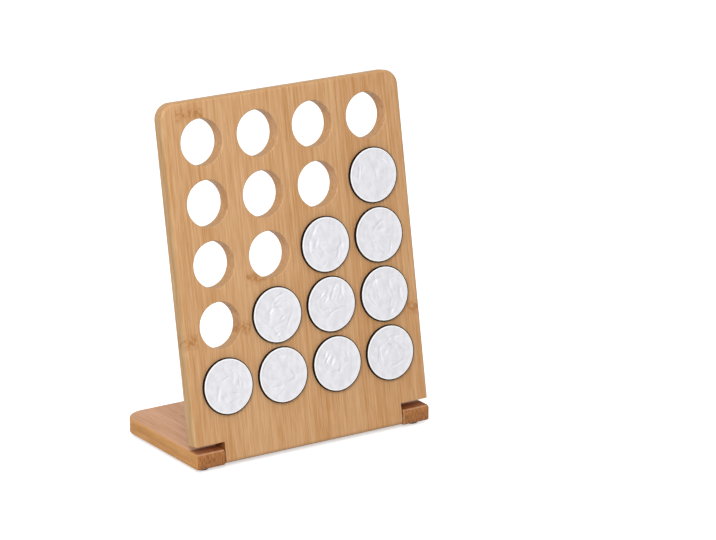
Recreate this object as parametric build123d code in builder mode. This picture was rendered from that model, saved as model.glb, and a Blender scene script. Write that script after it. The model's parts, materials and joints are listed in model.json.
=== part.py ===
from build123d import *
import os
from math import atan2, cos, degrees, hypot, pi, radians, sin, tan

# Coffee capsule holder: a leaning board with rows of round holes, hinged to a base board behind it.
# Sizes are in millimetres. +X is to the right, +Y to the back and +Z up; the feet stand on Z = 0.

# Capsule, the standard piece that the holes are made for
cup_mouth_radius = 14.6
cup_waist_radius = 13.2
cup_neck_radius = 12.0
cup_wall_length = 18.0
cup_neck_length = 9.6
cup_shoulder = 2.8
flute_count = 24
rim_flats = 40
flange_radius = 19.1
flange_thickness = 2.1
foil_radius = 18.6
foil_thickness = 0.5

# Hole pattern, which sets the panel's width and height
hole_clearance = 1.0
hole_columns = 4
hole_rows = 5
column_pitch = 42.9
row_pitch = 40.7
side_margin = 28.4
top_margin = 28.3
bottom_row_rise = 46.1

# Boards
lean_angle = 10.0
panel_thickness = 11.0
panel_corner_radius = 11.0
panel_edge_radius = 2.0
base_thickness = 11.0
base_rear_reach = 94.8
base_corner_radius = 15.0
base_edge_radius = 1.2
base_edge_chamfer = 1.0
edge_slack = 0.1  # tells an edge on a line from one beside it

# Hinge: the panel's tongue drops between the two ears of the base and turns on two dowels
pivot_rise = 5.5
ear_width = 21.4
ear_reach = 6.6
ear_corner_radius = 3.0
tongue_drop = 5.5
tongue_front_radius = 3.0
tongue_side_gap = 0.9
shoulder_gap = 2.7
stop_gap = 0.2
dowel_radius = 2.5
dowel_reach = 18.0
dowel_end_gap = 0.5
dowel_glue_gap = 0.02
dowel_running_gap = 0.08

# Feet
foot_radius = 5.0
foot_height = 2.7
foot_side_inset = 9.0
foot_front_inset = 10.5
foot_rear_inset = 14.0

# Sizes that follow from those above
lean = radians(lean_angle)
half_thickness = panel_thickness / 2
hole_radius = cup_mouth_radius + hole_clearance
board_width = (hole_columns - 1) * column_pitch + 2 * side_margin
notch_width = board_width - 2 * ear_width
tongue_width = notch_width - 2 * tongue_side_gap
tongue_back_radius = half_thickness

# Heights above the pivot: the base's top along Z, the others along the leaning panel
base_top_rise = base_thickness - pivot_rise
shoulder_rise = (base_top_rise + shoulder_gap + half_thickness * sin(lean)) / cos(lean)
panel_top_rise = bottom_row_rise + (hole_rows - 1) * row_pitch + top_margin

# The notch's rear wall stops the panel at its lean and lets the tongue's end turn past as it folds
stop_reach = (half_thickness + stop_gap) / cos(lean) + base_top_rise * tan(lean)
tongue_sweep = tongue_front_radius + hypot(
    tongue_drop - tongue_front_radius, half_thickness - tongue_front_radius
)
notch_reach = max(stop_reach, tongue_sweep + stop_gap)

# The origin lies under the middle of the depth, between the ears' fronts and the base's rear edge
pivot_y = (ear_reach - base_rear_reach) / 2
pivot_z = foot_height + pivot_rise
ear_front_y = pivot_y - ear_reach
notch_rear_y = pivot_y + notch_reach
base_rear_y = pivot_y + base_rear_reach

# The panel's mid plane: X across, Y up the panel and Z out of its front, with its origin on the pivot
panel_plane = Plane(
    origin=(0, pivot_y, pivot_z), x_dir=(1, 0, 0), z_dir=(0, -cos(lean), sin(lean))
)
# The panel seen from its left end: X towards the front face and Y up the panel
panel_end_plane = Plane(
    origin=panel_plane.origin, x_dir=panel_plane.z_dir, z_dir=(-1, 0, 0)
)


def side_plane(side, half_width):
    """Plane on the left (-1) or right (+1) at that half width, facing outwards, centred on the pivot."""
    return Plane(origin=(side * half_width, pivot_y, pivot_z), z_dir=(side, 0, 0))


def above_shoulders(edge):
    """True for an edge of the panel's outline that runs above its two shoulders."""
    return panel_plane.to_local_coords(edge.center()).Y > shoulder_rise + panel_edge_radius


def leaning_panel():
    """Board with rounded edges, a tongue between two shoulders, capsule holes and dowel bores."""
    with BuildPart() as panel:
        with BuildSketch(panel_end_plane):
            with Locations((0, -tongue_drop)):
                Rectangle(
                    panel_thickness, panel_top_rise + tongue_drop, align=(Align.CENTER, Align.MIN)
                )
            fillet(vertices().group_by(Axis.Y)[0].sort_by(Axis.X)[0], tongue_back_radius)
            fillet(vertices().group_by(Axis.Y)[0].sort_by(Axis.X)[-1], tongue_front_radius)
        extrude(amount=board_width / 2, both=True)

        with BuildSketch(panel_plane):
            with Locations((0, shoulder_rise)):
                Rectangle(
                    board_width, panel_top_rise - shoulder_rise, align=(Align.CENTER, Align.MIN)
                )
            with Locations((0, -2 * tongue_drop)):
                Rectangle(
                    tongue_width, shoulder_rise + 2 * tongue_drop, align=(Align.CENTER, Align.MIN)
                )
            fillet(vertices().group_by(Axis.Y)[-1], panel_corner_radius)
        extrude(amount=panel_thickness, both=True, mode=Mode.INTERSECT)
        outline = panel.edges().filter_by(above_shoulders)
        through = outline.filter_by(Axis(panel_plane.origin, panel_plane.z_dir))
        fillet(outline - through, panel_edge_radius)

        with BuildSketch(panel_plane):
            with Locations((0, bottom_row_rise + (hole_rows - 1) * row_pitch / 2)):
                with GridLocations(column_pitch, row_pitch, hole_columns, hole_rows):
                    Circle(hole_radius)
        extrude(amount=panel_thickness, both=True, mode=Mode.SUBTRACT)

        with Locations(side_plane(-1, tongue_width / 2), side_plane(1, tongue_width / 2)):
            Hole(dowel_radius + dowel_running_gap, depth=dowel_reach + dowel_end_gap)
    return panel


def beside_notch(edge):
    """True for an edge of the base's outline, and false for one of the notch between its ears."""
    place = edge.center()
    return abs(place.X) > notch_width / 2 + edge_slack or place.Y > notch_rear_y + edge_slack


def base_board():
    """Board with a notch between two ears at its front, rounded outer edges and the dowel bores."""
    with BuildPart() as base:
        with BuildSketch(Plane.XY.offset(foot_height)):
            with Locations((0, ear_front_y)):
                Rectangle(
                    board_width, base_rear_y - ear_front_y, align=(Align.CENTER, Align.MIN)
                )
            fillet(vertices().group_by(Axis.Y)[-1], base_corner_radius)
            fillet(vertices().group_by(Axis.Y)[0], ear_corner_radius)
            with Locations((0, notch_rear_y)):
                Rectangle(
                    notch_width,
                    2 * (notch_rear_y - ear_front_y),
                    align=(Align.CENTER, Align.MAX),
                    mode=Mode.SUBTRACT,
                )
        extrude(amount=base_thickness)
        fillet(base.edges().group_by(Axis.Z)[-1].filter_by(beside_notch), base_edge_radius)
        chamfer(base.edges().group_by(Axis.Z)[0].filter_by(beside_notch), base_edge_chamfer)
        with Locations(side_plane(-1, board_width / 2), side_plane(1, board_width / 2)):
            Hole(dowel_radius + dowel_glue_gap, depth=ear_width)
    return base


def hinge_dowel(side):
    """Dowel glued into the ear, flush with its side, that reaches into the tongue as the pivot."""
    with BuildPart() as dowel:
        with BuildSketch(side_plane(side, board_width / 2)):
            Circle(dowel_radius)
        extrude(amount=-(ear_width + tongue_side_gap + dowel_reach))
    return dowel


def foot(side, y):
    """Round rubber foot stuck under the base."""
    with BuildPart() as pad:
        with BuildSketch(Plane.XY):
            with Locations((side * (board_width / 2 - foot_side_inset), y)):
                Circle(foot_radius)
        extrude(amount=foot_height)
    return pad


def capsule_seat(row, column):
    """Plane on the panel's front face at a hole, with row 0 at the top and column 0 at the left."""
    across = (column - (hole_columns - 1) / 2) * column_pitch
    rise = bottom_row_rise + (hole_rows - 1 - row) * row_pitch
    centre = panel_plane.from_local_coords((across, rise, half_thickness))
    return Plane(origin=centre, x_dir=panel_plane.x_dir, z_dir=panel_plane.z_dir)


def capsule_cup(seat):
    """Fluted cup: a flange on the panel's face, a tapered wall and a stepped neck with a shoulder."""
    inwards = Plane(origin=seat.origin, x_dir=seat.x_dir, z_dir=-seat.z_dir)
    wall_taper = (cup_mouth_radius - cup_waist_radius) * cos(pi / flute_count)
    with BuildPart() as cup:
        with BuildSketch(inwards):
            RegularPolygon(cup_mouth_radius, flute_count)
        extrude(amount=cup_wall_length)
        flutes = cup.faces().filter_by(Axis(seat.origin, seat.z_dir), reverse=True)
        draft(flutes, inwards, degrees(atan2(wall_taper, cup_wall_length)))
        with BuildSketch(inwards.offset(cup_wall_length)):
            RegularPolygon(cup_neck_radius, flute_count)
        extrude(amount=cup_neck_length)
        chamfer(cup.faces().sort_by(Axis(seat.origin, inwards.z_dir))[-1].edges(), cup_shoulder)
        with BuildSketch(seat):
            RegularPolygon(flange_radius, rim_flats)
        extrude(amount=flange_thickness)
    return cup


def capsule_foil(seat):
    """Foil lid sealed to the front of the flange."""
    with BuildPart() as foil:
        with BuildSketch(seat.offset(flange_thickness)):
            RegularPolygon(foil_radius, rim_flats)
        extrude(amount=foil_thickness)
    return foil


def write_piece(piece, name):
    """Label a finished piece and write its file."""
    piece.part.label = name
    export_step(piece.part, f"parts/{name}.step")


os.makedirs("parts", exist_ok=True)
write_piece(leaning_panel(), "panel")
write_piece(base_board(), "base")
for side, hand in ((-1, "left"), (1, "right")):
    write_piece(hinge_dowel(side), f"hinge_dowel_{hand}")
    write_piece(foot(side, ear_front_y + foot_front_inset), f"foot_front_{hand}")
    write_piece(foot(side, base_rear_y - foot_rear_inset), f"foot_rear_{hand}")

# The seated capsules fill a staircase of holes, growing by one a row from the right
capsule_count = 0
for row in range(hole_rows):
    for column in range(max(0, hole_columns - row), hole_columns):
        capsule_count += 1
        seat = capsule_seat(row, column)
        write_piece(capsule_cup(seat), f"capsule_{capsule_count}_cup")
        write_piece(capsule_foil(seat), f"capsule_{capsule_count}_foil")
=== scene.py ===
import json
import math
import random

import bmesh
import bpy
from mathutils import Matrix, Vector, noise


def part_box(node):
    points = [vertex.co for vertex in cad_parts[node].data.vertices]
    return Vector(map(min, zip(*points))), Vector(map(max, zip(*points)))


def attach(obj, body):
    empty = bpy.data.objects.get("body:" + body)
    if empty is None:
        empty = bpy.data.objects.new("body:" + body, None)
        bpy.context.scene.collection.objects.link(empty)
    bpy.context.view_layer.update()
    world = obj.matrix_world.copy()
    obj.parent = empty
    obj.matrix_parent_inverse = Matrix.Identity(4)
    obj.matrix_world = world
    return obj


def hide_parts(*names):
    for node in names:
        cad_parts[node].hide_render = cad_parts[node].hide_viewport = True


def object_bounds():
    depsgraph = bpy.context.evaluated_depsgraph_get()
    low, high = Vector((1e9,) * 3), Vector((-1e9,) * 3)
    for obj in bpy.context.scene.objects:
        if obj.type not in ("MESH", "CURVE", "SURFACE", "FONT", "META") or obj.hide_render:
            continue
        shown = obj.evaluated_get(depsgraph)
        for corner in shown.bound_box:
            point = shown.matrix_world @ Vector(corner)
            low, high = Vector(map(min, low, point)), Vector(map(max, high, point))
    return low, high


# Coffee capsule holder: bamboo boards on dowel pivots, capsules with foil lids, and rubber feet.
# Lengths are in metres. +X is to the right, +Y to the back and +Z up.

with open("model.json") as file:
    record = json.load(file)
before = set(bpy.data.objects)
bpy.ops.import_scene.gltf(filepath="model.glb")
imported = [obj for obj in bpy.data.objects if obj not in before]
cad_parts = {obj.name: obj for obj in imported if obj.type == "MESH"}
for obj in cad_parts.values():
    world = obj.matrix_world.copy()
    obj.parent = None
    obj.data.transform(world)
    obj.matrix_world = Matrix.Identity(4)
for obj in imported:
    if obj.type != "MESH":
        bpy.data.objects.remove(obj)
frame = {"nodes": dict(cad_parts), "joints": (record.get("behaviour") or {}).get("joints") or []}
cad_low, cad_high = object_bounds()
scene = bpy.context.scene
mm = 0.001

# Base, with its ears and the notch between them
base_low, base_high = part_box("base")
base_upper_radius = 1.4 * mm
base_lower_radius = 1.2 * mm
base_corner_radius = 15.0 * mm
ear_width = 21.4 * mm
ear_corner_radius = 3.0 * mm
ear_upper_radius = 4.0 * mm
ear_lower_radius = 2.6 * mm
notch_reach = 6.76 * mm

# Panel, in its own frame: X across, Y up the panel from the pivot, Z out of its front
panel_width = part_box("panel")[1].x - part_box("panel")[0].x
panel_thickness = 11.0 * mm
panel_corner_radius = 11.0 * mm
panel_edge_radius = 2.3 * mm
hole_radius = 15.6 * mm
hole_ease = 0.8 * mm
hole_sides = 72
hole_columns, hole_rows = 4, 5
column_pitch, row_pitch = 42.9 * mm, 40.7 * mm
bottom_row_rise = 46.1 * mm
top_margin = 28.3 * mm
panel_top_rise = bottom_row_rise + (hole_rows - 1) * row_pitch + top_margin
shoulder_rise = 9.3 * mm
tongue_side_gap = 0.9 * mm
tongue_width = panel_width - 2 * (ear_width + tongue_side_gap)
tongue_drop = 5.5 * mm
tongue_front_radius = 3.0 * mm
tongue_back_radius = 5.4 * mm

# Rounding of the edges that have no larger one, and what finds edges and faces
small_ease = 0.5 * mm
tiny = 0.01 * mm
same_way = 0.999  # cosine from which a face counts as looking along a direction

# Hinge dowels
dowel_radius = 2.5 * mm
glue_gap = 0.02 * mm
running_gap = 0.08 * mm
dowel_bore_depth = 18.5 * mm
bore_sides = 32

# Feet
foot_edge_radius = 0.8 * mm
foot_hub_radius = 0.3 * mm
foot_sides = 40

# Capsule, in its own frame: Z out of the panel's front face, on which its flange rests
flute_count, flute_depth = 24, 0.45 * mm
flute_roundness = 0.7
flute_start, flute_end, flute_fade = 1.5 * mm, 16.6 * mm, 1.5 * mm
facet_count, facet_depth = 12, 0.3 * mm
facet_start, facet_end, facet_fade = 23.0 * mm, 27.2 * mm, 1.2 * mm
cup_sides, cup_ring_gap = 8 * flute_count, 1.2 * mm
rim_sides = 144
end_disc_radius, end_disc_rise = 7.9 * mm, -27.2 * mm
end_disc_sides = 72

# Foil lid: a flat sealed edge round a middle with a pucker all over and a few soft folds
foil_radius = 18.35 * mm
foil_back, foil_front = 2.1 * mm, 2.6 * mm
foil_edge_radius = 0.15 * mm
seal_width, seal_flat = 1.0 * mm, 0.3 * mm
lid_sides, lid_rings = 192, 48
crease_depth, crease_fade = 0.9 * mm, 1.5 * mm
pucker_size = 7 * mm
pucker_gain, pucker_lacunarity, pucker_octaves = 1.0, 2.0, 2
pucker_drop, pucker_swing = 0.24 * mm, 0.16 * mm
pucker_step = 3.7  # through the noise, from one lid to the next
fold_counts = (5, 12, 10, 12, 13, 12, 10, 10, 9, 17)  # on each lid in turn
fold_reach = 13 * mm
fold_turn = 0.6  # radians, the spread about a circle round the middle
fold_half_lengths = (2.5 * mm, 7 * mm)
fold_half_widths = (0.6 * mm, 1.2 * mm)
fold_bends = (-40, 40)  # per metre
fold_depths = (0.22 * mm, 0.56 * mm)
fold_ridge = 0.8  # how strongly a ridge rises beside each valley

# Angles in degrees: from which an edge is eased, and from which it is shaded as sharp
eased_angle = 40
board_crease, capsule_crease = 38, 50

# Bamboo strips, with noise at so many features a metre along X, Y and Z
strip_width = 20.6 * mm
strip_shift = 3.0  # metres through the noise at most, so that no two strips look alike
band_scale, band_share = (130, 6, 90), 0.28
fibre_scale, fibre_share = (820, 20, 400), 0.95
bundle_scale, bundle_share = (1700, 75, 800), 0.60
strip_share = 0.10
tone_low, tone_high = 0.53, 1.40
side_start, side_full = 4 * mm, 3 * mm  # in from a board's side, where its tint starts and is full
stroke_scale = (520, 430, 300)
pore_scale, pore_shade = (1400, 60, 300), 0.55
node_core, node_reach = 0.5 * mm, 7 * mm
node_bend, node_bend_scale = 5 * mm, (60, 10, 40)
node_tint = (0.80, 0.68, 0.50)
no_node = 1.0  # further up than any strip reaches

# How far a face has to look along an axis, from none to full, to count as a side, an end, a wall or a top
side_facing = (0.35, 0.80)
end_facing = (0.40, 0.80)
wall_facing = (0.50, 0.90)
top_facing = (0.85, 0.98)

# The photograph's camera: a long lens to the left of the front and a little above, in degrees and metres
photo_width = 716
focal_pixels = 3573.4
sensor_width = 36.0  # in millimetres, as lenses are measured
camera_azimuth = -33.354
camera_elevation = 17.114
camera_distance = 2.4366
camera_aim = Vector((59.79, 33.58, 97.56)) * mm  # from the hinge
camera_far = 100.0

# Studio floor
floor_size = 60.0

# Places that follow from the joints
joints = {joint["name"]: joint for joint in frame["joints"]}
pivot = Vector(joints["panel_fold"]["pos_m"])
front = Vector(joints["capsule_1_lift"]["axis"])
right = Vector((1, 0, 0))
up_panel = front.cross(right)
panel_place = Matrix.Translation(pivot) @ Matrix((right, up_panel, front)).transposed().to_4x4()
notch_side_x = base_high.x - ear_width
notch_rear_y = pivot.y + notch_reach


# Shader nodes


def new_material(name):
    """Material with a Principled shader, and its node tree."""
    material = bpy.data.materials.new(name)
    material.use_nodes = True
    return material, material.node_tree


def put(tree, socket, value):
    """Link an output to a socket, or set the socket to a plain value."""
    if isinstance(value, bpy.types.NodeSocket):
        tree.links.new(value, socket)
    else:
        socket.default_value = value


def add(tree, kind, inputs=None, **settings):
    """New shader node with its settings and its inputs, by name or index."""
    made = tree.nodes.new("ShaderNode" + kind)
    for name, value in settings.items():
        setattr(made, name, value)
    for key, value in (inputs or {}).items():
        put(tree, made.inputs[key], value)
    return made


def calc(tree, operation, a, b=0.0, c=0.0):
    """Output of a math node."""
    return add(tree, "Math", {0: a, 1: b, 2: c}, operation=operation).outputs[0]


def mixed(tree, factor, a, b, blend="MIX"):
    """Output of a colour mix."""
    inputs = {0: factor, 6: a, 7: b}
    return add(tree, "Mix", inputs, data_type="RGBA", blend_type=blend).outputs[2]


def ranged(tree, value, low, high, to_low=0.0, to_high=1.0):
    """Output of a clamped and smoothed map range."""
    inputs = {0: value, 1: low, 2: high, 3: to_low, 4: to_high}
    return add(tree, "MapRange", inputs, interpolation_type="SMOOTHSTEP").outputs[0]


def parts_of(tree, vector):
    """The X, Y and Z of a vector."""
    return add(tree, "SeparateXYZ", {0: vector}).outputs


def looking(tree, part, facing):
    """How far a face looks along an axis, either way: 0 to 1 over a range of that part of its normal."""
    low, high = facing
    return ranged(tree, calc(tree, "ABSOLUTE", part), low, high)


def stretched_noise(tree, point, scale, detail=3.0, roughness=0.55):
    """Noise at so many features a metre along X, Y and Z."""
    place = add(tree, "VectorMath", {0: point, 1: scale}, operation="MULTIPLY").outputs[0]
    inputs = {"Vector": place, "Scale": 1.0, "Detail": detail, "Roughness": roughness}
    return add(tree, "TexNoise", inputs).outputs["Fac"]


def finish_shader(tree, **inputs):
    """Set the Principled shader's sockets, where an underscore stands for a space."""
    shader = tree.nodes["Principled BSDF"]
    for name, value in inputs.items():
        put(tree, shader.inputs[name.replace("_", " ")], value)


def bumped(tree, height, strength, distance):
    """Normal output of a bump node."""
    inputs = {"Height": height, "Strength": strength, "Distance": distance}
    return add(tree, "Bump", inputs).outputs["Normal"]


def shaded(colour, share):
    """A colour at a share of its brightness."""
    return [channel * share for channel in colour[:3]] + [1]


# Bamboo


def bamboo(name, pale, deep, end_grain, end_streaks, side_tint, node_rises):
    """Pressed bamboo strips that run along Y, some with a growth node, and streaked end grain."""
    material, tree = new_material(name)
    where = add(tree, "TexCoord").outputs
    point, facing = where["Object"], parts_of(tree, where["Normal"])
    across = parts_of(tree, point)["X"]
    strip = calc(tree, "FLOOR", calc(tree, "DIVIDE", across, strip_width))
    chance = add(tree, "TexWhiteNoise", {"W": strip}, noise_dimensions="1D").outputs["Value"]
    shift = add(tree, "CombineXYZ", {"Y": calc(tree, "MULTIPLY", chance, strip_shift)}).outputs[0]
    moved = add(tree, "VectorMath", {0: point, 1: shift}, operation="ADD").outputs[0]

    fibres = stretched_noise(tree, moved, fibre_scale, roughness=0.65)
    tone = bamboo_tone(tree, moved, fibres, chance)
    colour = mixed(tree, ranged(tree, tone, tone_low, tone_high), pale, deep)
    colour = with_growth_nodes(tree, colour, deep, point, moved, strip, node_rises)

    # The outer strips' flat sides look along X, and all the cut ends along Y
    edge = panel_width / 2
    outer = ranged(tree, calc(tree, "ABSOLUTE", across), edge - side_start, edge - side_full)
    sideways = calc(tree, "MULTIPLY", outer, looking(tree, facing["X"], side_facing))
    colour = mixed(tree, sideways, colour, side_tint, "MULTIPLY")
    ends = streaked_ends(tree, point, end_grain, end_streaks)
    colour = mixed(tree, looking(tree, facing["Y"], end_facing), colour, ends)

    gloss = ranged(tree, fibres, 0.3, 0.7, to_low=0.42, to_high=0.54)
    normal = bumped(tree, fibres, strength=0.20, distance=0.12 * mm)
    finish_shader(tree, Base_Color=colour, Roughness=gloss, Normal=normal, Specular_IOR_Level=0.15)
    return material


def bamboo_tone(tree, point, fibres, chance):
    """How deep the colour is: broad bands, fibres and thin bundles, with a step from strip to strip."""
    bands = stretched_noise(tree, point, band_scale, detail=2.0)
    bundles = stretched_noise(tree, point, bundle_scale, detail=2.0)
    tone = calc(tree, "MULTIPLY_ADD", bands, band_share, calc(tree, "MULTIPLY", fibres, fibre_share))
    tone = calc(tree, "MULTIPLY_ADD", chance, strip_share, tone)
    return calc(tree, "MULTIPLY_ADD", bundles, bundle_share, tone)


def with_growth_nodes(tree, colour, deep, point, moved, strip, node_rises):
    """Add a soft band of short dark strokes across each strip that has a growth node."""
    knot = [channel * tint for channel, tint in zip(deep, node_tint)] + [1]
    away = node_distance(tree, moved, parts_of(tree, point)["Y"], strip, node_rises)
    band = ranged(tree, away, node_core, node_reach, to_low=1.0, to_high=0.0)
    strokes = stretched_noise(tree, moved, stroke_scale, detail=2.0)
    strokes = ranged(tree, strokes, 0.40, 0.66, to_low=0.12, to_high=0.72)
    return mixed(tree, calc(tree, "MULTIPLY", band, strokes), colour, knot)


def node_distance(tree, point, rise, strip, node_rises):
    """Distance along a strip from its growth node, looked up by the strip's number."""
    count = len(node_rises)
    ramp = add(tree, "ValToRGB")
    ramp.color_ramp.interpolation = "CONSTANT"
    stops = ramp.color_ramp.elements
    for number, node_rise in enumerate(node_rises):
        stop = stops[number] if number < len(stops) else stops.new(number / count)
        stop.position = number / count
        stop.color = (node_rise, node_rise, node_rise, 1)
    # Strips are numbered from the middle, and the half lands in the middle of a stop
    from_left = calc(tree, "ADD", strip, count / 2 + 0.5)
    put(tree, ramp.inputs[0], calc(tree, "DIVIDE", from_left, count))
    bend = stretched_noise(tree, point, node_bend_scale, detail=1.0)
    above = calc(tree, "SUBTRACT", rise, ramp.outputs["Color"])
    bent = calc(tree, "MULTIPLY_ADD", bend, node_bend, above)
    return calc(tree, "ABSOLUTE", calc(tree, "SUBTRACT", bent, node_bend / 2))


def streaked_ends(tree, point, end_grain, end_streaks):
    """Colour of the cut ends, with dark pores in streaks."""
    pores = stretched_noise(tree, point, pore_scale)
    pores = ranged(tree, pores, 0.42, 0.62, to_low=0.0, to_high=end_streaks)
    return mixed(tree, pores, end_grain, shaded(end_grain, pore_shade))


def paint_ear_shade(material, tint):
    """Paint shade on the ears' tops and their walls in the notch, close to the panel's foot: the shadow
    in the slot under the panel, darkest by the notch, with the gloss dulled there.
    """
    tree = material.node_tree
    where = add(tree, "TexCoord").outputs
    spot = parts_of(tree, where["Object"])
    across = calc(tree, "ABSOLUTE", spot["X"])
    wall_skin, wall_fade = notch_side_x + 0.2 * mm, notch_side_x + 0.8 * mm
    wall_start, wall_full = notch_rear_y - 12 * mm, notch_rear_y - 10 * mm
    rear_full, rear_end = notch_rear_y - 1.8 * mm, notch_rear_y + 0.2 * mm

    walls = ranged(tree, across, wall_skin, wall_fade, to_low=1.0, to_high=0.0)
    walls = calc(tree, "MULTIPLY", walls, ranged(tree, spot["Y"], wall_start, wall_full))
    tops = ranged(tree, across, notch_side_x, base_high.x, to_low=1.0, to_high=0.75)
    upward = ranged(tree, parts_of(tree, where["Normal"])["Z"], *top_facing)
    tops = calc(tree, "MULTIPLY", upward, tops)
    before_rear = ranged(tree, spot["Y"], rear_full, rear_end, to_low=1.0, to_high=0.0)
    paint_shade(tree, calc(tree, "MULTIPLY", calc(tree, "MAXIMUM", tops, walls), before_rear), tint)


def paint_tongue_shade(material, tint):
    """Paint shade on the panel's cut walls on both sides of its tongue, which face the ears in the slot,
    with the gloss dulled there.
    """
    tree = material.node_tree
    where = add(tree, "TexCoord").outputs
    rise = parts_of(tree, where["Object"])["Y"]
    low = ranged(tree, rise, shoulder_rise, shoulder_rise + 1 * mm, to_low=1.0, to_high=0.0)
    sideways = looking(tree, parts_of(tree, where["Normal"])["X"], wall_facing)
    paint_shade(tree, calc(tree, "MULTIPLY", low, sideways), tint)


def paint_shade(tree, amount, tint):
    """Paint shade into a finished material by an amount: multiply its colour by a tint and dull its
    gloss.
    """
    sockets = tree.nodes["Principled BSDF"].inputs
    colour = sockets["Base Color"].links[0].from_socket
    gloss = sockets["Roughness"].links[0].from_socket
    # Painted shade: the colour is darkened by the tint where the amount is high
    put(tree, sockets["Base Color"], mixed(tree, amount, colour, tint, "MULTIPLY"))
    put(tree, sockets["Roughness"], calc(tree, "MAXIMUM", gloss, amount))


panel_bamboo = bamboo(
    "panel_bamboo",
    pale=(0.727, 0.452, 0.244, 1),
    deep=(0.492, 0.223, 0.067, 1),
    end_grain=(0.58, 0.335, 0.155, 1),
    end_streaks=0.25,
    side_tint=(0.94, 1.02, 1.03, 1),
    node_rises=(0.080, 0.228, 0.083, 0.114, no_node, no_node, no_node, no_node, no_node, 0.074),
)
base_bamboo = bamboo(
    "base_bamboo",
    pale=(0.74, 0.435, 0.276, 1),
    deep=(0.505, 0.252, 0.113, 1),
    end_grain=(0.460, 0.187, 0.062, 1),
    end_streaks=0.95,
    side_tint=(0.97, 0.85, 0.48, 1),
    node_rises=(no_node, no_node, 0.021, no_node, 0.004, no_node, no_node, 0.033, no_node, no_node),
)
# Painted shade in the slot under the panel: darker, duller ear tops and notch walls
paint_ear_shade(base_bamboo, tint=(0.46, 0.23, 0.10, 1))
# Painted shade on the tongue's side walls in the slot above the ears
paint_tongue_shade(panel_bamboo, tint=(0.46, 0.28, 0.15, 1))


# Foil, lacquer, rubber and plain wood


def creased_foil(name, colour, seal_sheen, seal_radius):
    """Thin aluminium foil, with a painted sheen that makes its flat sealed edge brighter."""
    material, tree = new_material(name)
    point = add(tree, "TexCoord").outputs["Object"]
    patches = stretched_noise(tree, point, (300, 220, 300), detail=4.0)
    grain = stretched_noise(tree, point, (2600, 2600, 2600), detail=2.0)
    shade = mixed(tree, ranged(tree, patches, 0.35, 0.70), colour, shaded(colour, 0.90))
    level = add(tree, "VectorMath", {0: point, 1: (1, 1, 0)}, operation="MULTIPLY").outputs[0]
    reach = add(tree, "VectorMath", {0: level}, operation="LENGTH").outputs["Value"]
    # Painted sheen: the flat sealed edge is painted in a brighter colour
    sheen_ring = ranged(tree, reach, seal_radius - 0.1 * mm, seal_radius + 0.4 * mm)
    shade = mixed(tree, sheen_ring, shade, seal_sheen)
    gloss = ranged(tree, patches, 0.3, 0.7, to_low=0.50, to_high=0.60)
    normal = bumped(tree, grain, strength=0.10, distance=0.05 * mm)
    finish_shader(tree, Base_Color=shade, Metallic=0.15, Roughness=gloss, Normal=normal)
    return material


def moulded(name, colour, deep, roughness, speckle, relief, shine=0.5):
    """Lacquer, rubber or plain wood with a faint mottle and grain."""
    material, tree = new_material(name)
    point = add(tree, "TexCoord").outputs["Object"]
    mottle = stretched_noise(tree, point, (speckle, speckle, speckle))
    grain = stretched_noise(tree, point, (1800, 1800, 1800), detail=2.0)
    shade = mixed(tree, ranged(tree, mottle, 0.35, 0.68), colour, deep)
    rough = ranged(tree, mottle, 0.3, 0.7, to_low=roughness * 0.9, to_high=roughness * 1.15)
    normal = bumped(tree, grain, strength=relief, distance=0.05 * mm)
    finish_shader(tree, Base_Color=shade, Roughness=rough, Normal=normal, Specular_IOR_Level=shine)
    return material


def cup_paint(name, colour, deep):
    """The record slot of a cup and its lacquer, which share a name."""
    return name, moulded(name, colour, deep, roughness=0.24, speckle=120, relief=0.08)


dowel_wood = moulded(
    "dowel_wood",
    colour=(0.66, 0.32, 0.105, 1),
    deep=(0.54, 0.24, 0.065, 1),
    roughness=0.55,
    speckle=900,
    relief=0.2,
    shine=0.15,
)
lid_foil = creased_foil(
    "lid_foil",
    colour=(0.818, 0.814, 0.856, 1),
    seal_sheen=(0.94, 0.94, 0.95, 1),
    seal_radius=foil_radius - seal_width,
)
end_foil = creased_foil(
    "end_foil",
    colour=(0.74, 0.74, 0.77, 1),
    seal_sheen=(0.82, 0.82, 0.84, 1),
    seal_radius=end_disc_radius - seal_width,
)
rim_black = moulded(
    "rim_black",
    colour=(0.012, 0.006, 0.005, 1),
    deep=(0.016, 0.009, 0.007, 1),
    roughness=0.7,
    speckle=300,
    relief=0.1,
    shine=0.06,
)
foot_rubber = moulded(
    "foot_rubber",
    colour=(0.030, 0.022, 0.020, 1),
    deep=(0.018, 0.013, 0.012, 1),
    roughness=0.7,
    speckle=700,
    relief=0.4,
)
cup_paints = (
    cup_paint("cup_red", (0.42, 0.012, 0.025, 1), (0.33, 0.008, 0.018, 1)),
    cup_paint("cup_yellow", (0.74, 0.32, 0.010, 1), (0.64, 0.26, 0.008, 1)),
    cup_paint("cup_blue", (0.010, 0.20, 0.38, 1), (0.007, 0.15, 0.30, 1)),
)


# Mesh building


def arc(centre, radius, start, end, steps=14):
    """Points of an arc, from one angle to another in degrees."""
    angles = [math.radians(start + (end - start) * i / steps) for i in range(steps + 1)]
    return [(centre[0] + radius * math.cos(a), centre[1] + radius * math.sin(a)) for a in angles]


def prism(outline, low, high):
    """Mesh of a flat board between two heights, with its outline counter-clockwise."""
    bm = bmesh.new()
    bottom = [bm.verts.new((x, y, low)) for x, y in outline]
    top = [bm.verts.new((x, y, high)) for x, y in outline]
    bm.faces.new(top)
    bm.faces.new(bottom[::-1])
    for i in range(len(outline)):
        bm.faces.new((bottom[i - 1], bottom[i], top[i], top[i - 1]))
    bm.normal_update()
    return bm


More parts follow.
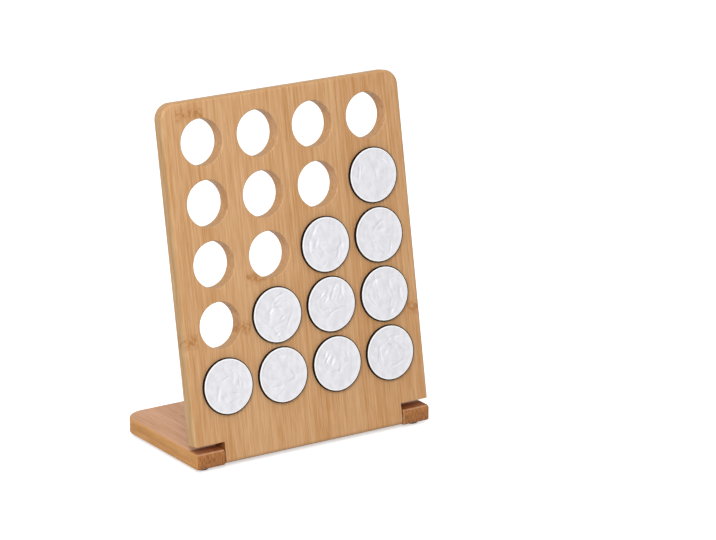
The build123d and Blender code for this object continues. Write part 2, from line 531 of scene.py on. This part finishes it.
def ease(bm, chosen, radius, segments):
    """Round the edges for which chosen(edge, middle) is true."""
    edges = [e for e in bm.edges if chosen(e, (e.verts[0].co + e.verts[1].co) / 2)]
    bmesh.ops.bevel(bm, geom=edges, offset=radius, segments=segments, profile=0.5, affect="EDGES")
    bm.normal_update()


def sharp_and_convex(edge, middle):
    """True for an outward edge that no larger rounding has taken."""
    return edge.is_convex and edge.calc_face_angle(0) > math.radians(eased_angle)


def ring(bm, place, radius, rise, count):
    """Circle of vertices about the Z axis of a placing matrix."""
    angles = [2 * math.pi * i / count for i in range(count)]
    points = [Vector((radius * math.cos(a), radius * math.sin(a), rise)) for a in angles]
    return [bm.verts.new(place @ point) for point in points]


def bridge(bm, rings):
    """Join each ring to the next with quads."""
    for low, high in zip(rings, rings[1:]):
        for i in range(len(low)):
            bm.faces.new((low[i - 1], low[i], high[i], high[i - 1]))


def flat_face(bm, direction):
    """The largest flat face that looks that way."""
    faces = [f for f in bm.faces if f.normal.dot(direction) > same_way]
    return max(faces, key=lambda f: f.calc_area())


def side_wall(bm, across, side):
    """The largest flat face at that X that looks to the left (-1) or right (+1)."""
    faces = [f for f in bm.faces if f.normal.x * side > same_way]
    faces = [f for f in faces if abs(f.calc_center_median().x - across) < tiny]
    return max(faces, key=lambda f: f.calc_area())


def open_face(bm, face, rings):
    """Fill a flat face again, leaving the rings open in it."""
    edges = list(face.edges)
    normal = face.normal.copy()
    bm.faces.remove(face)
    for loop in rings:
        for i in range(len(loop)):
            pair = (loop[i - 1], loop[i])
            edges.append(bm.edges.get(pair) or bm.edges.new(pair))
    bmesh.ops.triangle_fill(bm, use_beauty=True, edges=edges, normal=normal)


def turned(bm, profile, count, shape=None):
    """Revolve a profile of (radius, rise) about Z, with shape(angle, radius, rise) as its true radius."""
    rings = []
    for radius, rise in profile:
        loop = []
        for i in range(count):
            angle = 2 * math.pi * i / count
            true = shape(angle, radius, rise) if shape else radius
            loop.append(bm.verts.new((true * math.cos(angle), true * math.sin(angle), rise)))
        rings.append(loop)
    bridge(bm, rings)
    return rings


def rounded(corners, steps=5):
    """Profile through corners of (radius, rise, rounding), each rounded off by that length."""
    points = []
    for i, (x, y, size) in enumerate(corners):
        here = Vector((x, y))
        if size == 0 or i in (0, len(corners) - 1):
            points.append((x, y))
            continue
        before = here + (Vector(corners[i - 1][:2]) - here).normalized() * size
        after = here + (Vector(corners[i + 1][:2]) - here).normalized() * size
        for k in range(steps + 1):
            t = k / steps
            spot = before * (1 - t) ** 2 + here * 2 * t * (1 - t) + after * t**2
            points.append((spot.x, spot.y))
    return points


def finish_mesh(name, bm, material, crease):
    """Smooth mesh with a material, whose edges stay sharp from an angle in degrees."""
    bmesh.ops.recalc_face_normals(bm, faces=bm.faces)
    mesh = bpy.data.meshes.new(name)
    bm.to_mesh(mesh)
    bm.free()
    mesh.shade_smooth()
    mesh.set_sharp_from_angle(angle=math.radians(crease))
    mesh.materials.append(material)
    return mesh


def place_piece(name, mesh, place, body):
    """Object that shows a mesh, set in place, riding on a body."""
    piece = bpy.data.objects.new(name, mesh)
    scene.collection.objects.link(piece)
    piece.matrix_world = place
    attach(piece, body)
    return piece


def even_shading(piece):
    """Let the large flat faces set the shading at the rounded edges beside them."""
    modifier = piece.modifiers.new("even_shading", "WEIGHTED_NORMAL")
    modifier.keep_sharp = True


# Panel


def leaning_panel():
    """Panel with eased edges, a tongue between two shoulders, capsule holes and dowel bores."""
    face = panel_thickness / 2
    bm = prism(panel_outline(), -face, face)

    def tongue_end(side):
        def chosen(edge, middle):
            return abs(middle.y + tongue_drop) < small_ease and abs(middle.z - side * face) < small_ease

        return chosen

    def above_shoulders(edge, middle):
        return middle.y > shoulder_rise + small_ease and abs(abs(middle.z) - face) < tiny

    ease(bm, tongue_end(1), tongue_front_radius, segments=6)
    ease(bm, tongue_end(-1), tongue_back_radius, segments=8)
    ease(bm, above_shoulders, panel_edge_radius, segments=6)
    ease(bm, sharp_and_convex, small_ease, segments=2)
    cut_capsule_holes(bm)
    bore_tongue(bm)
    mesh = finish_mesh("panel_board", bm, panel_bamboo, board_crease)
    piece = place_piece("panel_board", mesh, panel_place, "panel")
    even_shading(piece)
    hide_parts("panel")


def panel_outline():
    """Outline of the panel, counter-clockwise from the left end of its tongue."""
    half, tongue, corner = panel_width / 2, tongue_width / 2, panel_corner_radius
    outline = [(-tongue, -tongue_drop), (tongue, -tongue_drop)]
    outline += [(tongue, shoulder_rise), (half, shoulder_rise)]
    outline += arc((half - corner, panel_top_rise - corner), corner, 0, 90)
    outline += arc((corner - half, panel_top_rise - corner), corner, 90, 180)
    outline += [(-half, shoulder_rise), (-tongue, shoulder_rise)]
    return outline


def cut_capsule_holes(bm):
    """Through holes with eased edges on both faces."""
    face = panel_thickness / 2
    quarter = arc((hole_radius + hole_ease, face - hole_ease), hole_ease, 90, 180, steps=4)
    fronts, backs = [], []
    for row in range(hole_rows):
        for column in range(hole_columns):
            place = Matrix.Translation(hole_centre(row, column))
            rings = [ring(bm, place, radius, rise, hole_sides) for radius, rise in quarter]
            rings += [ring(bm, place, radius, -rise, hole_sides) for radius, rise in reversed(quarter)]
            bridge(bm, rings)
            fronts.append(rings[0])
            backs.append(rings[-1])
    open_face(bm, flat_face(bm, Vector((0, 0, 1))), fronts)
    open_face(bm, flat_face(bm, Vector((0, 0, -1))), backs)


def hole_centre(row, column):
    """Centre of a hole in the panel's frame, with row 0 at the top and column 0 at the left."""
    across = (column - (hole_columns - 1) / 2) * column_pitch
    rise = bottom_row_rise + (hole_rows - 1 - row) * row_pitch
    return Vector((across, rise, 0))


def bore_tongue(bm):
    """Blind bores in the tongue's two ends, in which it turns on the dowels."""
    radius = dowel_radius + running_gap
    for side in (-1, 1):
        across = side * tongue_width / 2
        place = Matrix.Translation((across, 0, 0)) @ Matrix.Rotation(side * math.pi / 2, 4, "Y")
        mouth = ring(bm, place, radius, 0, bore_sides)
        floor = ring(bm, place, radius, -dowel_bore_depth, bore_sides)
        bridge(bm, [mouth, floor])
        bm.faces.new(floor)
        open_face(bm, side_wall(bm, across, side), [mouth])


# Base, feet and dowels


def base_board():
    """Base with two ears, the notch between them, rounded outer edges and dowel bores."""
    bm = prism(base_outline(), base_low.z, base_high.z)

    def outer(height):
        def chosen(edge, middle):
            beside_notch = abs(middle.x) > notch_side_x + small_ease
            behind_notch = middle.y > notch_rear_y + small_ease
            level = all(abs(vert.co.z - height) < tiny for vert in edge.verts)
            return level and (beside_notch or behind_notch)

        return chosen

    ease(bm, outer(base_high.z), base_upper_radius, segments=4)
    ease(bm, outer(base_low.z), base_lower_radius, segments=4)
    ease(bm, sharp_and_convex, small_ease, segments=2)
    roll_ear_fronts(bm)
    bore_ears(bm)
    mesh = finish_mesh("base_board", bm, base_bamboo, board_crease)
    piece = place_piece("base_board", mesh, Matrix(), "base")
    even_shading(piece)
    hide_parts("base")


def base_outline():
    """Outline of the base, counter-clockwise from the left ear's outer corner."""
    half, notch = base_high.x, notch_side_x
    front_y, rear_y = base_low.y, base_high.y
    ear, corner = ear_corner_radius, base_corner_radius
    outline = arc((ear - half, front_y + ear), ear, 180, 270, steps=8)
    outline += [(-notch, front_y), (-notch, notch_rear_y), (notch, notch_rear_y), (notch, front_y)]
    outline += arc((half - ear, front_y + ear), ear, 270, 360, steps=8)
    outline += arc((half - corner, rear_y - corner), corner, 0, 90)
    outline += arc((corner - half, rear_y - corner), corner, 90, 180)
    return outline


def roll_ear_fronts(bm):
    """Round the ears' upper and lower front edges, by cutting rows there and bending them onto an arc."""
    rolls = ((base_high.z, -1, ear_upper_radius), (base_low.z, 1, ear_lower_radius))
    # The front half of each arc has rows already, from the first rounding of its edge
    rows = 6
    for _, _, radius in rolls:
        for row in range(rows // 2, rows + 1):
            reach = base_low.y + radius * row / rows
            everything = bm.verts[:] + bm.edges[:] + bm.faces[:]
            bmesh.ops.bisect_plane(bm, geom=everything, plane_co=(0, reach, 0), plane_no=(0, 1, 0))
    for height, inwards, radius in rolls:
        spring = height + inwards * radius
        for vert in bm.verts:
            to_arc_end = 1 - (vert.co.y - base_low.y) / radius
            if (spring - vert.co.z) * inwards > 0 and to_arc_end > 0:
                vert.co.z = spring + (vert.co.z - spring) * math.sqrt(max(0, 1 - to_arc_end**2))
    bm.normal_update()


def bore_ears(bm):
    """Bores through both ears, in which the dowels are glued."""
    place = Matrix.Translation((0, pivot.y, pivot.z)) @ Matrix.Rotation(math.pi / 2, 4, "Y")
    radius = dowel_radius + glue_gap
    for side in (-1, 1):
        mouth = ring(bm, place, radius, side * base_high.x, bore_sides)
        inner = ring(bm, place, radius, side * notch_side_x, bore_sides)
        bridge(bm, [mouth, inner])
        open_face(bm, side_wall(bm, side * base_high.x, side), [mouth])
        open_face(bm, side_wall(bm, side * notch_side_x, -side), [inner])


def feet():
    """Round rubber pads with softened edges under the base's corners."""
    for name in ("foot_front_left", "foot_front_right", "foot_rear_left", "foot_rear_right"):
        low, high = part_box(name)
        height, radius, edge = high.z - low.z, (high.x - low.x) / 2, foot_edge_radius
        corners = [(foot_hub_radius, 0, 0), (radius - edge, 0, edge), (radius, edge, edge)]
        corners += [(radius, height, 0), (foot_hub_radius, height, 0)]
        bm = bmesh.new()
        rings = turned(bm, rounded(corners), foot_sides)
        bm.faces.new(rings[0])
        bm.faces.new(rings[-1])
        mesh = finish_mesh(name + "_pad", bm, foot_rubber, board_crease)
        place = Matrix.Translation(((low.x + high.x) / 2, (low.y + high.y) / 2, low.z))
        piece = place_piece(name + "_pad", mesh, place, "base")
        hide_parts(name)


def dowels():
    """The CAD dowels as they are, with a wood finish."""
    for name in ("hinge_dowel_left", "hinge_dowel_right"):
        materials = frame["nodes"][name].data.materials
        materials.clear()
        materials.append(dowel_wood)


# Capsules, from profiles with corners of (radius, rise, rounding) in millimetres


def ramp_up(value, start, length):
    """0 up to a start, rising evenly to 1 over a length."""
    return min(1, max(0, (value - start) / length))


def between(value, start, end, fade):
    """1 between a start and an end, fading to 0 at both."""
    return ramp_up(value, start, fade) * ramp_up(-value, -end, fade)


def in_metres(profile):
    """A profile of (radius, rise) in millimetres, in metres."""
    return [(radius * mm, rise * mm) for radius, rise in profile]


def cup_radius(angle, radius, rise):
    """Flutes on the wall and facets on the shoulder, both fading out at their ends."""
    wall = between(-rise, flute_start, flute_end, flute_fade)
    groove = max(0, math.cos(angle * flute_count)) ** flute_roundness
    shoulder = between(-rise, facet_start, facet_end, facet_fade)
    facet = 1 - abs(math.cos(angle * facet_count / 2))
    return radius - wall * flute_depth * groove - shoulder * facet_depth * facet


def cup_mesh(name, paint):
    """Cup of one colour: flange, fluted wall, beaded step, neck, faceted shoulder and recessed end."""
    flange = [
        (17.9, 2.02, 0), (18.65, 2.02, 0.2), (18.8, 1.2, 0.3), (18.5, 0.35, 0.3), (17.1, 0.06, 0.3),
    ]
    wall = [(15.4, 0.06, 0.5), (14.7, -0.9, 0.5), (14.45, -3.0, 0.3), (13.35, -16.2, 0.4)]
    step = [(13.55, -16.9, 0.3), (13.3, -17.9, 0.4), (12.1, -18.3, 0.4), (12.0, -19.0, 0.3)]
    shoulder = [(11.85, -23.9, 0.6), (9.5, -27.35, 0.5), (8.6, -27.55, 0.25)]
    recess = [(8.15, -27.1, 0.2), (end_disc_radius / mm, -27.1, 0)]
    profile = in_metres(rounded(flange + wall + step + shoulder + recess, steps=4))
    bm = bmesh.new()
    turned(bm, with_more_rings(profile, cup_ring_gap), cup_sides, cup_radius)
    return finish_mesh(name, bm, paint, capsule_crease)


def with_more_rings(profile, gap):
    """A profile with points added, so that those along a long stretch are less than two gaps apart."""
    dense = []
    for (r0, z0), (r1, z1) in zip(profile, profile[1:]):
        steps = max(1, int(math.hypot(r1 - r0, z1 - z0) / gap))
        dense += [(r0 + (r1 - r0) * k / steps, z0 + (z1 - z0) * k / steps) for k in range(steps)]
    return dense + [profile[-1]]


def rim_mesh():
    """Black curled rim round the flange, just outside the foil."""
    lip = [(18.0, 2.06, 0), (18.38, 2.06, 0), (18.46, 2.46, 0.08), (18.9, 2.46, 0.15)]
    curl = [(19.1, 2.0, 0.3), (19.1, 0.9, 0.3), (18.85, 0.2, 0.25), (18.4, 0.08, 0.15)]
    inside = [(18.0, 0.5, 0), (18.0, 2.06, 0)]
    bm = bmesh.new()
    turned(bm, in_metres(rounded(lip + curl + inside, steps=4)), rim_sides)
    return finish_mesh("rim_band", bm, rim_black, capsule_crease)


def end_disc_mesh():
    """Silver disc in the recess of the cup's end, a little dished."""
    profile = [
        (end_disc_radius + 0.3 * mm, end_disc_rise + 0.10 * mm),
        (7.4 * mm, end_disc_rise),
        (6.6 * mm, end_disc_rise + 0.12 * mm),
        (4.0 * mm, end_disc_rise + 0.16 * mm),
        (0.5 * mm, end_disc_rise + 0.18 * mm),
    ]
    bm = bmesh.new()
    rings = turned(bm, profile, end_disc_sides)
    bm.faces.new(rings[-1])
    return finish_mesh("end_disc", bm, end_foil, capsule_crease)


def lid_folds(number):
    """Random soft folds of one lid: for each a place, a half length, a half width, a bend and a depth."""
    draw = random.Random(number)
    folds = []
    for _ in range(fold_counts[number - 1]):
        angle = draw.uniform(0, 2 * math.pi)
        reach = fold_reach * draw.random() ** 0.5
        spot = Matrix.Translation((reach * math.cos(angle), reach * math.sin(angle), 0))
        turn = Matrix.Rotation(angle + math.pi / 2 + draw.gauss(0, fold_turn), 4, "Z")
        length = draw.uniform(*fold_half_lengths)
        width = draw.uniform(*fold_half_widths)
        bend = draw.uniform(*fold_bends)
        depth = draw.uniform(*fold_depths)
        folds.append(((spot @ turn).inverted(), length, width, bend, depth))
    return folds


def fold_drop(point, folds):
    """How far the folds sink the foil at a point: a valley with a low ridge beside it."""
    drop = 0
    for place, length, width, bend, depth in folds:
        near = place @ point
        across = (near.y - bend * near.x**2) / width
        along = max(0, 1 - (near.x / length) ** 2)
        drop += depth * along * (1 - fold_ridge * across) * math.exp(-(across**2))
    return drop


def lid_mesh(number):
    """Foil lid with a flat sealed edge and a creased middle."""
    flat = foil_radius - seal_width
    edge = foil_edge_radius
    profile = [(foil_radius, foil_back), (foil_radius, foil_front - edge)]
    profile += [(foil_radius - 0.8 * edge, foil_front - 0.2 * edge), (flat + seal_flat, foil_front)]
    profile += [(flat * (lid_rings - k) / lid_rings, foil_front) for k in range(lid_rings)]
    folds = lid_folds(number)

    def creased(point):
        inside = ramp_up(flat - point.length, 0, crease_fade)
        place = point / pucker_size + Vector((0, 0, pucker_step * number))
        pucker = noise.fractal(place, pucker_gain, pucker_lacunarity, pucker_octaves)
        drop = pucker_drop + pucker_swing * pucker + fold_drop(point, folds)
        return foil_front - inside * min(crease_depth, max(0, drop))

    bm = bmesh.new()
    rings = turned(bm, profile, lid_sides)
    centre = bm.verts.new((0, 0, foil_front))
    for i in range(lid_sides):
        bm.faces.new((rings[-1][i - 1], rings[-1][i], centre))
    for vert in bm.verts:
        spot = Vector((vert.co.x, vert.co.y, 0))
        if spot.length < flat:
            vert.co.z = creased(spot)
    return finish_mesh(f"lid_{number}", bm, lid_foil, capsule_crease)


def capsules():
    """Capsules in a staircase of holes from the right, each a cup, a rim, an end disc and a foil lid."""
    cups = [cup_mesh(slot, paint) for slot, paint in cup_paints]
    rim, end = rim_mesh(), end_disc_mesh()
    to_face = Vector((0, 0, panel_thickness / 2))
    number = 0
    for row in range(hole_rows):
        for column in range(max(0, hole_columns - row), hole_columns):
            colour = number % len(cups)
            number += 1
            body, slot = f"capsule_{number}", cup_paints[colour][0]
            place = panel_place @ Matrix.Translation(hole_centre(row, column) + to_face)
            cup = place_piece(f"{body}_fluted_cup", cups[colour], place, body)
            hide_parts(f"{body}_cup")
            place_piece(f"{body}_rim", rim, place, body)
            place_piece(f"{body}_end_disc", end, place, body)
            lid = place_piece(f"{body}_lid", lid_mesh(number), place, body)
            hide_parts(f"{body}_foil")


# Studio


def shown_ray(tree, light, shown):
    """One value for light that falls on things, and another for what the camera and gloss show."""
    path = add(tree, "LightPath").outputs
    seen = calc(tree, "MAXIMUM", path["Is Camera Ray"], path["Is Glossy Ray"])
    seen = calc(tree, "MAXIMUM", seen, path["Is Transmission Ray"])
    return calc(tree, "MULTIPLY_ADD", seen, shown - light, light)


def studio_floor():
    """Wide pale floor that is white to the camera and keeps the shadow."""
    bm = bmesh.new()
    half = floor_size / 2
    corners = [(-half, -half, 0), (half, -half, 0), (half, half, 0), (-half, half, 0)]
    bm.faces.new([bm.verts.new(corner) for corner in corners])
    mesh = bpy.data.meshes.new("studio_floor")
    bm.to_mesh(mesh)
    bm.free()
    mesh.materials.append(floor_paint())
    floor = bpy.data.objects.new("studio_floor", mesh)
    scene.collection.objects.link(floor)


def floor_paint():
    """Pale paint with a faint mottle, and a glow that only the camera and gloss see."""
    material, tree = new_material("studio_floor")
    point = add(tree, "TexCoord").outputs["Object"]
    mottle = stretched_noise(tree, point, (3, 3, 3))
    tint = ranged(tree, mottle, 0.3, 0.7, to_low=0.98, to_high=1.02)
    tint = calc(tree, "MULTIPLY", tint, shown_ray(tree, light=0.53, shown=0.96))
    colour = add(tree, "CombineColor", {0: tint, 1: tint, 2: tint}).outputs[0]
    glow = shown_ray(tree, light=0.0, shown=0.57)
    finish_shader(tree, Base_Color=colour, Roughness=0.9, Specular_IOR_Level=0.0)
    finish_shader(tree, Emission_Color=(1, 1, 1, 1), Emission_Strength=glow)
    return material


def studio_world():
    """White room: even fill light, and plain white behind the object."""
    world = bpy.data.worlds.new("studio_world")
    scene.world = world
    world.use_nodes = True
    tree = world.node_tree
    background = tree.nodes["Background"].inputs
    put(tree, background["Color"], (1, 1, 1, 1))
    put(tree, background["Strength"], shown_ray(tree, light=0.465, shown=1.0))


def soft_light(name, place, size, power):
    """Square softbox that faces the middle of the object."""
    light = bpy.data.lights.new(name, "AREA")
    light.size = size
    light.energy = power
    lamp = bpy.data.objects.new(name, light)
    scene.collection.objects.link(lamp)
    lamp.location = place
    lamp.rotation_mode = "QUATERNION"
    middle = (cad_low + cad_high) / 2
    lamp.rotation_quaternion = (middle - Vector(place)).to_track_quat("-Z", "Y")


def photo_camera():
    """Camera where the photograph was taken from."""
    azimuth, elevation = math.radians(camera_azimuth), math.radians(camera_elevation)
    back = Vector((math.sin(azimuth), -math.cos(azimuth), math.tan(elevation))).normalized()
    data = bpy.data.cameras.new("photo_camera")
    data.sensor_width = sensor_width
    data.lens = focal_pixels * sensor_width / photo_width
    data.clip_end = camera_far
    camera = bpy.data.objects.new("photo_camera", data)
    scene.collection.objects.link(camera)
    camera.location = pivot + camera_aim + back * camera_distance
    camera.rotation_mode = "QUATERNION"
    camera.rotation_quaternion = (-back).to_track_quat("-Z", "Y")
    scene.camera = camera


leaning_panel()
base_board()
feet()
capsules()
dowels()
studio_floor()
studio_world()
soft_light("key_light", place=(-1.05, -1.3, 1.15), size=1.1, power=25.2)
soft_light("top_light", place=(-0.3, 0.2, 1.8), size=1.4, power=6.3)
photo_camera()
scene.view_settings.view_transform = "Standard"
